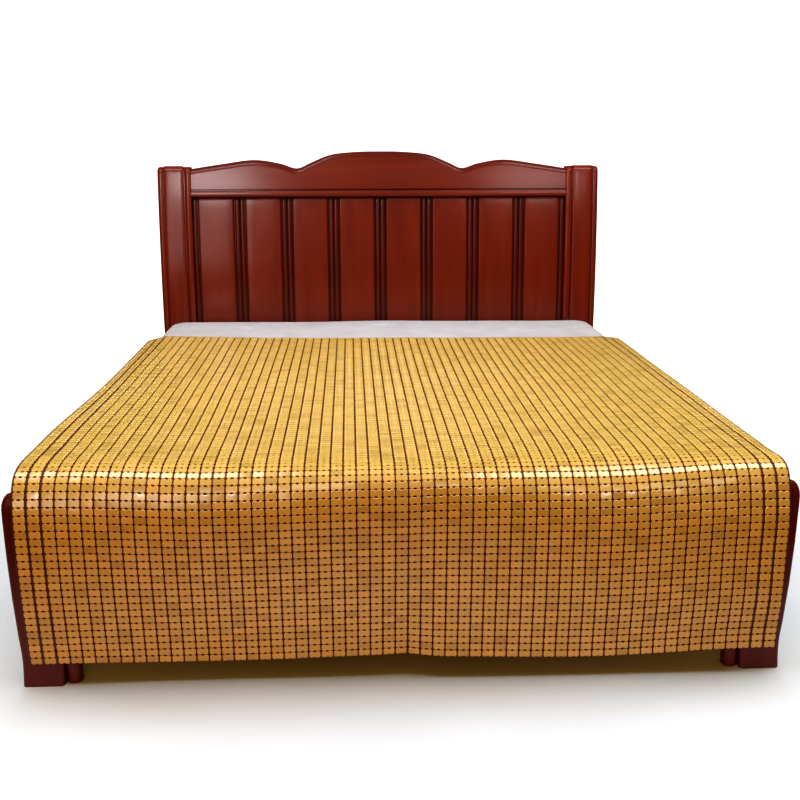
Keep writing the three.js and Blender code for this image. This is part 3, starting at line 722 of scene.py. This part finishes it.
def ruckles(x, y):
    """Soft creases in the part of the sheet that the mat leaves bare."""
    rng = np.random.default_rng(SEED + 1)
    height = np.zeros_like(x)
    for _ in range(RUCKLE["count"]):
        cx, cy = rng.uniform(*RUCKLE["x"]), rng.uniform(*RUCKLE["y"])
        angle = rng.uniform(*RUCKLE["turn"])
        angle += math.pi / 2 if rng.random() < RUCKLE["turned"] else 0
        length, width = rng.uniform(*RUCKLE["length"]), rng.uniform(*RUCKLE["width"])
        along = (x - cx) * math.cos(angle) + (y - cy) * math.sin(angle)
        aside = -(x - cx) * math.sin(angle) + (y - cy) * math.cos(angle)
        aside = (aside + RUCKLE["wind"] * np.sin(along / RUCKLE["over"] + cx)) / width
        ridge = np.exp(-(aside**2)) - RUCKLE["hollow"] * np.exp(-((aside / RUCKLE["spread"]) ** 2))
        height += rng.uniform(*RUCKLE["height"]) * ridge * np.exp(-((along / length) ** 2))
    return height * smooth((y - BARE[0]) / BARE[1])


def round_corner(x, y, half_x, half_y, radius):
    dx = np.abs(x) - (half_x - radius)
    dy = np.abs(y) - (half_y - radius)
    inside = (dx <= 0) | (dy <= 0)
    scale = np.maximum(dx, dy) / np.maximum(np.hypot(dx, dy), 1e-9)
    out_x = np.sign(x) * (half_x - radius + dx * scale)
    out_y = np.sign(y) * (half_y - radius + dy * scale)
    return np.where(inside, x, out_x), np.where(inside, y, out_y)


def frontness(t):
    """1 at the front of the mattress, quickly less towards its back, for t from -1 to 1."""
    return ((1 - t) / 2) ** 4


def mattress():
    """The mattress in its fitted sheet, whose top follows the mat over it."""
    steps_x, steps_y = MATTRESS_STEPS
    layers = len(MATTRESS_LEVELS)
    grid_x, grid_y = np.linspace(-1, 1, steps_x + 1), np.linspace(-1, 1, steps_y + 1)
    rim = rim_of(np.stack(np.meshgrid(grid_x, grid_y, indexing="ij"), 2))
    rings = []
    for z, inset, front_inset in MATTRESS_LEVELS:
        hx, hy = MATTRESS["half"] - inset, MATTRESS_HALF_Y - inset
        x, y = round_corner(rim[:, 0] * hx, rim[:, 1] * hy, hx, hy, MATTRESS["corner"])
        y = y + MATTRESS_MIDDLE + (front_inset - inset) * frontness(rim[:, 1])
        rings.append(np.stack([x, y, np.full(len(x), z)], 1))
    hx, hy = MATTRESS["half"] - MATTRESS["rim"], MATTRESS_HALF_Y - MATTRESS["rim"]
    gx, gy = np.meshgrid(grid_x * hx, grid_y * hy, indexing="ij")
    x, y = round_corner(gx.ravel(), gy.ravel(), hx, hy, MATTRESS["corner"])
    y = y + MATTRESS_MIDDLE + (MATTRESS["front_rim"] - MATTRESS["rim"]) * frontness(gy.ravel() / hy)
    inwards = np.minimum(1 - np.abs(grid_x[:, None]), 1 - np.abs(grid_y[None]))
    fade = np.clip(inwards * RUCKLE_FADE, 0, 1).ravel()
    top = np.stack([x, y, mattress_top(x, y) + ruckles(x, y) * fade], 1)
    count = len(rim)
    number = np.arange(len(top)).reshape(len(grid_x), len(grid_y)) + layers * count
    sides, underside, (low,) = tube_along(np.stack(rings)[None], count)
    high = rim_of(number)
    edge = np.stack([low, np.roll(low, -1), np.roll(high, -1), high], 1)
    faces = [sides, edge, grid_quads(number), underside]
    points = np.concatenate([*rings, top])
    return mesh_piece("mattress_in_sheet", points, faces, SHEET, 80)


def piping(name, level_z, inset, radius=3.2, sides=8):
    """The corded seam that runs round the mattress."""
    half_x, half_y = MATTRESS["half"] - inset, MATTRESS_HALF_Y - inset
    path = rounded_rectangle(
        -half_x, half_x, MATTRESS_MIDDLE - half_y, MATTRESS_MIDDLE + half_y, MATTRESS["corner"], 12
    )
    tangent = unit(np.roll(path, -1, 0) - np.roll(path, 1, 0))
    out = np.stack([tangent[:, 1], -tangent[:, 0]], 1)
    turns = np.arange(sides) * 2 * math.pi / sides
    points = np.zeros((len(path), sides, 3))
    points[..., :2] = path[:, None] + out[:, None] * (radius * np.cos(turns))[None, :, None]
    points[..., 2] = level_z + radius * np.sin(turns)
    number = np.arange(len(path) * sides).reshape(len(path), sides)
    after = np.roll(number, -1, 0)
    quads = np.stack([number, after, np.roll(after, -1, 1), np.roll(number, -1, 1)], 2).reshape(-1, 4)
    return mesh_piece(name, points.reshape(-1, 3), [quads], SHEET)


# The bed's wooden parts


def foot_front(z):
    return np.interp(z, FOOT_FRONT[:, 0], FOOT_FRONT[:, 1])


def foot_spread(z):
    return np.interp(z, FOOT_FRONT[:, 0], FOOT_FRONT[:, 2])


def head_face(z):
    t = np.clip((np.asarray(z, float) - HEAD_LEAN["from"]) / HEAD_LEAN["over"], 0, 1)
    return HEAD_FACE + HEAD_LEAN["reach"] * t ** HEAD_LEAN["power"]


def lofted(name, rings, material, nodes, sharp=40):
    """A closed body through rings of points, upwards or along X, instead of the named nodes."""
    rings = np.asarray(rings, float)
    faces = tube_along(rings[None], rings.shape[1])
    piece = mesh_piece(name, rings.reshape(-1, 3), faces, material, sharp)
    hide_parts(*nodes)
    return piece


def rounded_rectangle(x0, x1, y0, y1, radius, steps=8):
    centres = ((x1 - radius, y0 + radius), (x1 - radius, y1 - radius),
               (x0 + radius, y1 - radius), (x0 + radius, y0 + radius))
    points = []
    for quarter, (cx, cy) in enumerate(centres):
        for i in range(steps + 1):
            angle = math.pi / 2 * (quarter - 1 + i / steps)
            points.append((cx + radius * math.cos(angle), cy + radius * math.sin(angle)))
    return np.array(points)


def level_ring(outline, z):
    return np.column_stack([outline, np.full(len(outline), z)])


FOOT_CAP = {"from": 456.0, "rise": 37.0, "draw": 17.0}
# How far the edges on the floor are eased, and the corner radius of the brackets
FLOOR_EASE = 1.5
BRACKET_CORNER = 16


def foot_post(side, node):
    """A foot post whose front leans outwards and whose top is rounded over."""
    shaft = np.linspace(FLOOR_EASE, FOOT_CAP["from"], 46)
    cap_turn = np.linspace(0, math.pi / 2, 13)[1:]
    rise, draw = FOOT_CAP["rise"], FOOT_CAP["draw"]
    cap = [(FOOT_CAP["from"] + rise * math.sin(a), draw * (1 - math.cos(a))) for a in cap_turn]
    levels = [(0, FLOOR_EASE), *((z, 0.0) for z in shaft), *cap]
    rings = []
    for z, inset in levels:
        outer = FOOT_HALF + foot_spread(z) - inset
        inner = FOOT_HALF - FOOT_POST["width"] + inset
        x0, x1 = (-outer, -inner) if side < 0 else (inner, outer)
        y0 = foot_front(z) + inset * FOOT_POST["share"]
        y1 = foot_front(z) + FOOT_POST["depth"] - inset * FOOT_POST["share"]
        radius = min(FOOT_POST["corner"], (y1 - y0) / 2 - 1)
        rings.append(level_ring(rounded_rectangle(x0, x1, y0, y1, radius), z))
    return lofted(node, rings, WOOD_FOOT_PAINTED_SHADE, [node])


def bracket(side, node):
    low, high = (np.array(corner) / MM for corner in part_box(node))
    low[1] -= Y_SHIFT
    high[1] -= Y_SHIFT
    top = high[2]
    rings = []
    for z, inset in ((0, FLOOR_EASE), (FLOOR_EASE, 0), (top - 3, 0), (top - 1, 1), (top, 3)):
        (x0, y0), (x1, y1) = low[:2] + inset, high[:2] - inset
        rings.append(level_ring(rounded_rectangle(x0, x1, y0, y1, BRACKET_CORNER), z))
    return lofted(node, rings, WOOD_FOOT_PAINTED_SHADE, [node])


def arc(t):
    """Height of a round bead over its base, from 0 to 1, for t from -1 to 1 across it."""
    return np.sqrt(np.clip(1 - t * t, 0, 1))


# Middle and half width of a post's inner bead, its crowned face and its outer bead, from its inner side
POST_GROOVE = 4.5
POST_INNER = (13.0, 13.0)
POST_FACE = (70.0, 41.0)
POST_OUTER = (124.5, 11.5)
# Up to what depth a post's points belong to its front
POST_FRONT = 40
# Middle and half width of the painted shade in each groove, from the edge of the crowned face
POST_PAINTED_SHADE = (1.5, 2)
# How high a headboard post's top is rounded over, how far its front, sides and back draw in there
# and how much lower its beads end
POST_CAP = {"rise": 20.0, "draw": 15.0, "side": 5.0, "back": 4.0, "beads": 4.5}


def post_front(u):
    """How far a headboard post's front stands behind its plane, u across it from its inner side."""
    inner = POST_GROOVE - 5.5 * arc((u - POST_INNER[0]) / POST_INNER[1])
    crown = np.clip(1 - np.abs((u - POST_FACE[0]) / POST_FACE[1]) ** 8, 0, 1)
    face = POST_GROOVE - 6.5 * crown ** (1 / 3)
    outer = POST_GROOVE - 3.5 * arc((u - POST_OUTER[0]) / POST_OUTER[1])
    edge = 12 - 11 * arc((u - POST_OUTER[0]) / POST_OUTER[1])
    front = np.where(u < POST_FACE[0], np.minimum(inner, face), np.minimum(outer, face))
    return np.where(u > POST_OUTER[0], edge, front)


# Runs of points across a post's front up to the middle of its outer bead: from, to and how many
POST_RUNS = (
    (0.4, 25.9, 17), (26.1, 28.9, 2), (29.1, 37, 9), (42, 98, 8),
    (103, 110.9, 9), (111.1, 112.9, 2), (113.1, 124, 8),
)


def post_outline(side):
    outer_from, outer_half = POST_OUTER
    runs = [np.linspace(*run) for run in POST_RUNS]
    runs.append(outer_from + outer_half * np.sin(np.linspace(0.1, math.pi / 2, 9)))
    u = np.concatenate(runs)
    front = np.column_stack([HEAD_HALF - POST_WIDTH + u, post_front(u)])
    back = [(HEAD_HALF, 52), (HEAD_HALF - 2.5, 57.5), (HEAD_HALF - 8, 60),
            (HEAD_HALF - POST_WIDTH + 3, 60), (HEAD_HALF - POST_WIDTH, 57)]
    outline = np.vstack([front, back])
    return outline if side > 0 else outline[::-1] * (-1, 1)


def head_post(side, node):
    """A headboard post: a crowned face between two grooves and two beads, rounded over on top."""
    outline = post_outline(side)
    middle = side * (HEAD_HALF - POST_WIDTH / 2)
    across = np.abs(outline[:, 0]) - (HEAD_HALF - POST_WIDTH)
    lowered = POST_CAP["beads"] * (np.abs(across - POST_FACE[0]) > POST_FACE[1])
    is_front = outline[:, 1] < POST_FRONT
    cap_from = POST_TOP - POST_CAP["rise"]
    shaft = [0, 2, 280, *np.linspace(400, cap_from - 10, 34)]
    levels = [(z, 0.0) for z in shaft] + [(None, a) for a in np.linspace(0, math.pi / 2, 11)]
    rings = []
    for z, turn in levels:
        ring = outline.copy()
        height = np.full(len(ring), float(z or 0))
        if z is None:
            height = cap_from + POST_CAP["rise"] * math.sin(turn) - lowered
            ring[:, 1] += np.where(is_front, POST_CAP["draw"], -POST_CAP["back"]) * (1 - math.cos(turn))
            drawn = POST_CAP["side"] * (1 - math.cos(turn)) / (POST_WIDTH / 2)
            ring[:, 0] = middle + (ring[:, 0] - middle) * (1 - drawn)
        ring[:, 1] += head_face(height)
        rings.append(np.column_stack([ring, height]))
    piece = lofted(node, rings, WOOD_UP, [node])
    # Painted shade in the grooves beside the crowned face
    middle, half = POST_PAINTED_SHADE
    in_groove = np.abs(np.abs(across - POST_FACE[0]) - POST_FACE[1] - middle) < half
    add_float(piece, "painted_shade", np.tile(in_groove & is_front, len(rings)))
    return piece


# Depths of a board's face, shoulder, groove and back, where its bead, its groove and its bevel end,
# and how its top edge curves back
BOARD = {"face": 14, "shoulder": 21, "groove": 24.5, "back": 42}
BOARD_BEAD = (0.8, 19.6)
BOARD_BEVEL = (22.4, 31.0)
BOARD_EDGE = {"height": 14.0, "depth": 5.0}


def board_front(u):
    """How far a board's front stands behind the headboard's plane, u from its nearest side."""
    start, end = BOARD_BEAD
    bead = BOARD["shoulder"] + 1 - 4 * arc((u - (start + end) / 2) / ((end - start) / 2))
    low, high = BOARD_BEVEL
    rise = np.clip((u - low) / (high - low), 0, 1)
    bevel = BOARD["shoulder"] + 1 - (BOARD["shoulder"] + 1 - BOARD["face"]) * arc(1 - rise)
    front = np.where(u < end, bead, BOARD["groove"])
    return np.where(u < start, BOARD["groove"], np.where(u < low, front, bevel))


def head_board(index, node):
    """One upright board: a bead and a bevel along each side and a raised face between them."""
    pitch = (2 * BOARDS_HALF + FIT) / BOARDS
    x0 = -BOARDS_HALF + index * pitch
    width = pitch - FIT
    start, end = BOARD_BEAD
    middle, half = (start + end) / 2, (end - start) / 2
    edge = np.concatenate([
        [0.5, 0.75], middle - half * np.cos(np.linspace(0.05, math.pi - 0.05, 12)),
        [end + 0.2, BOARD_BEVEL[0] - 0.2], np.linspace(*BOARD_BEVEL, 9), [60.0],
    ])
    u = np.concatenate([edge, width - edge[::-1]])
    front = np.column_stack([x0 + u, board_front(np.minimum(u, width - u))])
    closed = FIT / 2 + 0.02
    left, right = x0 - closed, x0 + width + closed
    behind, back = BOARD["groove"] + 3, BOARD["back"]
    outline = np.vstack([front, [(right, behind), (right, back), (left, back), (left, behind)]])
    edge_from = BOARD_TOP - BOARD_EDGE["height"]
    edge_levels = edge_from + BOARD_EDGE["height"] * np.sin(np.linspace(0.15, math.pi / 2, 7))
    rings = []
    for z in np.concatenate([[BOARD_BOTTOM], np.linspace(560, edge_from, 16), edge_levels]):
        ring = outline + (0, float(head_face(z)))
        ring[:-4, 1] += BOARD_EDGE["depth"] * (1 - arc(max(z - edge_from, 0) / BOARD_EDGE["height"]))
        rings.append(level_ring(ring, z))
    piece = lofted(node, rings, WOOD_UP, [node], sharp=35)
    # Painted shade on the beads and bevels between the raised faces
    low, high = BOARD_BEVEL
    painted_shade = 1 - smooth((np.minimum(u, width - u) - low) / (high - low))
    add_float(piece, "painted_shade", np.tile(np.append(painted_shade, np.zeros(4)), len(rings)))
    return piece


# Height of each point of the rail's section and how far it stands behind the headboard's plane
BEAD_RAIL = (
    (1050.0, 6.0), (1052.0, 4.0), (1052.6, 1.5), (1053.6, 0.0), (1055.2, -1.6), (1058, -2.7),
    (1062, -3.0), (1070, -3.0), (1073.4, -2.6), (1075.4, -1.4), (1076.4, 0.4), (1077.0, 3.0),
    (1077.4, 9.0), (1080.0, 9.0), (1080.0, 44.0), (1050.0, 44.0),
)
# The depths between which the rail's grooves get painted shade
RAIL_PAINTED_SHADE_DEPTHS = (0.5, 20)


def bead_rail():
    """The rail over the boards: a flat bead with a deep groove over it."""
    sections = []
    for x in (-BOARDS_HALF, BOARDS_HALF):
        sections.append([(x, float(head_face(z)) + y, z) for z, y in BEAD_RAIL])
    piece = lofted("headboard_bead_rail", sections, WOOD_ACROSS, ["headboard_bead_rail"])
    # Painted shade in the grooves along the rail's edges
    shallow, deep = RAIL_PAINTED_SHADE_DEPTHS
    add_float(piece, "painted_shade", [float(shallow < y < deep) for z, y in BEAD_RAIL] * 2)
    return piece


# The round-over of the crest starts a step behind its face
CREST = {
    "face": 4.0, "step": 1.6, "back": 48.0, "bottom": 1080 + FIT,
    "round": 21.0, "deep": 14.0, "rear": 8, "steps": 120,
}
# Height over its bottom and depth of the groove under the crest's face
CREST_FOOT = ((0, 9.0), (1.4, 9.0), (1.8, CREST["face"] + 1), (3, CREST["face"]))
# How much of the grooves' painted shade the round-over takes, painted shade where it reflects less light
# than the face
CREST_PAINTED_SHADE = 0.65


def crest_height(x):
    """Height of the scalloped top edge, mirrored about the middle."""
    half = np.column_stack([CREST_TOP, np.zeros(len(CREST_TOP))])
    points = np.vstack([half[:0:-1] * (-1, 1, 1), half])
    curve = catmull_rom(points, np.linspace(0, 1, 4 * CURVE_STEPS + 1))
    return np.interp(x, curve[:, 0], curve[:, 1])


def crest():
    """The crest rail, whose top edge is rounded over into its face."""
    xs = np.linspace(-BOARDS_HALF, BOARDS_HALF, CREST["steps"] + 1)
    tops = crest_height(xs)
    turn = np.linspace(0, math.pi / 2, 13)
    bottom, face, back = CREST["bottom"], CREST["face"], CREST["back"]
    rear_round = CREST["rear"]
    sections = []
    for x, top in zip(xs, tops):
        round_from = top - CREST["round"]
        front = [(bottom + rise, y) for rise, y in CREST_FOOT]
        front += [(z, face) for z in np.linspace(bottom + 12, round_from - 0.6, 5)]
        for a in turn:
            y = face + CREST["step"] + CREST["deep"] * (1 - math.cos(a))
            front.append((round_from + CREST["round"] * math.sin(a), y))
        rear = []
        for a in turn[::-3]:
            y = back - rear_round + rear_round * math.cos(a)
            rear.append((top - rear_round * (1 - math.sin(a)), y))
        rear += [(bottom + 2, back), (bottom, back - 2)]
        sections.append([(x, float(head_face(z)) + y, z) for z, y in front + rear])
    piece = lofted("headboard_crest", sections, WOOD_ACROSS, ["headboard_crest"])
    flat = len(front) - len(turn)
    # Painted shade in the groove under the face, and a share of it on the round-over
    painted_shade = [1.0, 1.0] + [0.0] * (flat - 2) + [CREST_PAINTED_SHADE] * len(turn) + [0.0] * len(rear)
    add_float(piece, "painted_shade", painted_shade * len(sections))
    return piece


def eased_block(node, material, radius=2.0):
    """A straight board with its edges eased, in the box of its node."""
    low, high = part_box(node)
    shape = bmesh.new()
    bmesh.ops.create_cube(shape, size=1.0)
    bmesh.ops.scale(shape, vec=high - low, verts=shape.verts)
    bmesh.ops.translate(shape, vec=(low + high) / 2, verts=shape.verts)
    edges, width = shape.edges[:], radius * MM
    bmesh.ops.bevel(shape, geom=edges, offset=width, segments=3, profile=0.5, affect="EDGES")
    mesh = bpy.data.meshes.new(node)
    shape.to_mesh(mesh)
    shape.free()
    mesh.shade_smooth()
    mesh.set_sharp_from_angle(angle=math.radians(40))
    mesh.materials.append(material)
    piece = add_object(f"{node}_board", mesh)
    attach(piece, "root")
    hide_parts(node)
    return piece


def dress_node(node, material):
    """Keeps a node of the frame in view with a better material."""
    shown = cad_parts[node]
    shown.data.materials.clear()
    shown.data.materials.append(material)


def build_mat():
    net = backing_net()
    parts = [*tiles(), lengthwise_cords(), cross_cords()]
    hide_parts("bamboo_mat")


def build_mattress():
    body = mattress()
    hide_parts("mattress")
    piping("mattress_seam_low", 346, 4)
    piping("mattress_seam_high", 484, 2)


def build_bed():
    for side, word in ((-1, "left"), (1, "right")):
        foot_post(side, f"foot_post_{word}")
        bracket(side, f"foot_bracket_{word}")
        head_post(side, f"headboard_post_{word}")
        dress_node(f"side_rail_{word}", WOOD_ALONG)
    for index in range(BOARDS):
        head_board(index, f"headboard_board_{index + 1}")
    bead_rail()
    crest()
    dress_node("foot_panel", WOOD_ACROSS)
    dress_node("foot_top_rail", WOOD_ACROSS)
    dress_node("foot_bottom_rail", SHADED)
    eased_block("headboard_lower_rail", SHADED)
    for index in range(SLATS):
        eased_block(f"slat_{index + 1}", PALE_ACROSS)
    eased_block("centre_beam", PALE_ALONG)
    eased_block("centre_leg", PALE_UP)


# The room: floor, lights and camera

CAMERA_AT = (-0.127, -2.2105 + Y_SHIFT * MM, 1.2791)
# In radians: to the right, down and about its own axis
CAMERA_YAW = 0.0485
CAMERA_PITCH = 0.2499
CAMERA_ROLL = 0.0012
IMAGE_SIDE = 800
FOCAL_PIXELS = 1019.2
SENSOR = 36.0

FLOOR_REACH = 30.0
# The floor is solid up to the first radius and gives way to the white room by the second
FLOOR_FADE = (1.3, 2.3)
WHITE = (1.0, 1.0, 1.0, 1.0)
# What the room around the object gives to matt surfaces and to reflections
ROOM_FILL = (0.30, 0.19, 0.04, 1.0)
ROOM_SHINE = (0.03, 0.022, 0.016, 1.0)


def floor():
    """A plain pale floor that fades out into the room."""
    g = Graph("pale_floor", Roughness=0.6)
    specks = g.noise(g.stretched((1.0, 1.0, 1.0)), 3.0, 3.0)
    g.color(g.ramp(specks, [(0.3, (0.58, 0.615, 0.70)), (0.7, (0.61, 0.645, 0.74))]))
    spot = g.node("ShaderNodeTexCoord").outputs["Object"]
    radius = g.node("ShaderNodeVectorMath", {0: spot}, operation="LENGTH").outputs["Value"]
    near, far = FLOOR_FADE
    inputs = {"Value": radius, "From Min": near, "From Max": far, "To Min": 1.0, "To Max": 0.0}
    fade = g.node("ShaderNodeMapRange", inputs)
    g.feed(g.shader.inputs["Alpha"], fade.outputs["Result"])
    mesh = bpy.data.meshes.new("floor")
    corners = [(x * FLOOR_REACH, y * FLOOR_REACH, 0) for x, y in ((-1, -1), (1, -1), (1, 1), (-1, 1))]
    mesh.from_pydata(corners, [], [(0, 1, 2, 3)])
    mesh.materials.append(g.material)
    piece = add_object("floor", mesh)


COOL = (0.88, 0.97, 1.0)
WARM = (1.0, 0.40, 0.03)
# Name, place and aim in the tables' millimetres, size in metres, radiance, color, and whether
# it lights matt surfaces and whether reflections show it
SOFT_BOXES = (
    ("ceiling", (100, 900, 2900), (100, 900, 0), (3.4, 3.4), 2.75, COOL, True, False),
    ("front_fill", (-1100, -4500, 1000), (0, 0, 500), (4.0, 1.6), 3.7, WARM, True, False),
    ("gleam_left", (-1150, 200, 2800), (-1150, 200, 0), (1.1, 1.4), 5.0, COOL, True, True),
    ("gleam_right", (1450, 200, 2800), (1450, 200, 0), (1.2, 1.4), 5.0, COOL, True, True),
    ("front_left", (-1750, -5400, 2850), (0, 2055, 1100), (0.9, 0.6), 19.0, COOL, False, True),
    ("front_right", (2000, -5400, 2850), (0, 2055, 1100), (0.9, 0.6), 9.0, COOL, False, True),
    ("card_left", (-2300, -6000, 1900), (0, 2055, 900), (1.8, 2.2), 2.6, COOL, False, True),
    ("ceiling_front", (0, -3000, 2850), (0, -3000, 0), (5.0, 0.5), 3.5, COOL, False, True),
    ("rear_fill", (0, 6000, 1600), (0, 2100, 700), (3.0, 1.6), 4.0, COOL, True, False),
)


def soft_box(name, at, aim, size, radiance, color, lights_matt, mirrored):
    data = bpy.data.lights.new(name, "AREA")
    data.shape = "RECTANGLE"
    data.size, data.size_y = size
    data.energy = radiance * math.pi * size[0] * size[1]
    data.color = color
    light = add_object(name, data)
    start, end = (Vector(place(point)) for point in (at, aim))
    light.location = start
    light.rotation_euler = (end - start).to_track_quat("-Z", "Y").to_euler()
    light.visible_diffuse = lights_matt
    light.visible_glossy = mirrored


def room():
    """A white room that gives a warm fill to matt surfaces and little to reflections."""
    world = bpy.data.worlds.new("studio")
    world.use_nodes = True
    nodes = Nodes(world.node_tree)
    rays = nodes.node("ShaderNodeLightPath").outputs
    light = nodes.mix(rays["Is Glossy Ray"], ROOM_FILL, ROOM_SHINE)
    light = nodes.mix(rays["Is Camera Ray"], light, WHITE)
    nodes.feed(nodes.tree.nodes["Background"].inputs["Color"], light)
    bpy.context.scene.world = world


def camera():
    aimed = Euler((math.pi / 2 - CAMERA_PITCH, 0, -CAMERA_YAW)).to_matrix()
    turn = aimed @ Matrix.Rotation(-CAMERA_ROLL, 3, "Z")
    data = bpy.data.cameras.new("camera")
    data.sensor_width = SENSOR
    data.lens = FOCAL_PIXELS / IMAGE_SIDE * SENSOR
    made = add_object("camera", data)
    made.matrix_world = Matrix.Translation(CAMERA_AT) @ turn.to_4x4()
    bpy.context.scene.camera = made


build_mat()
build_mattress()
build_bed()
floor()
room()
for box in SOFT_BOXES:
    soft_box(*box)
camera()
bpy.context.scene.view_settings.view_transform = "Standard"
bpy.context.scene.view_settings.look = "High Contrast"
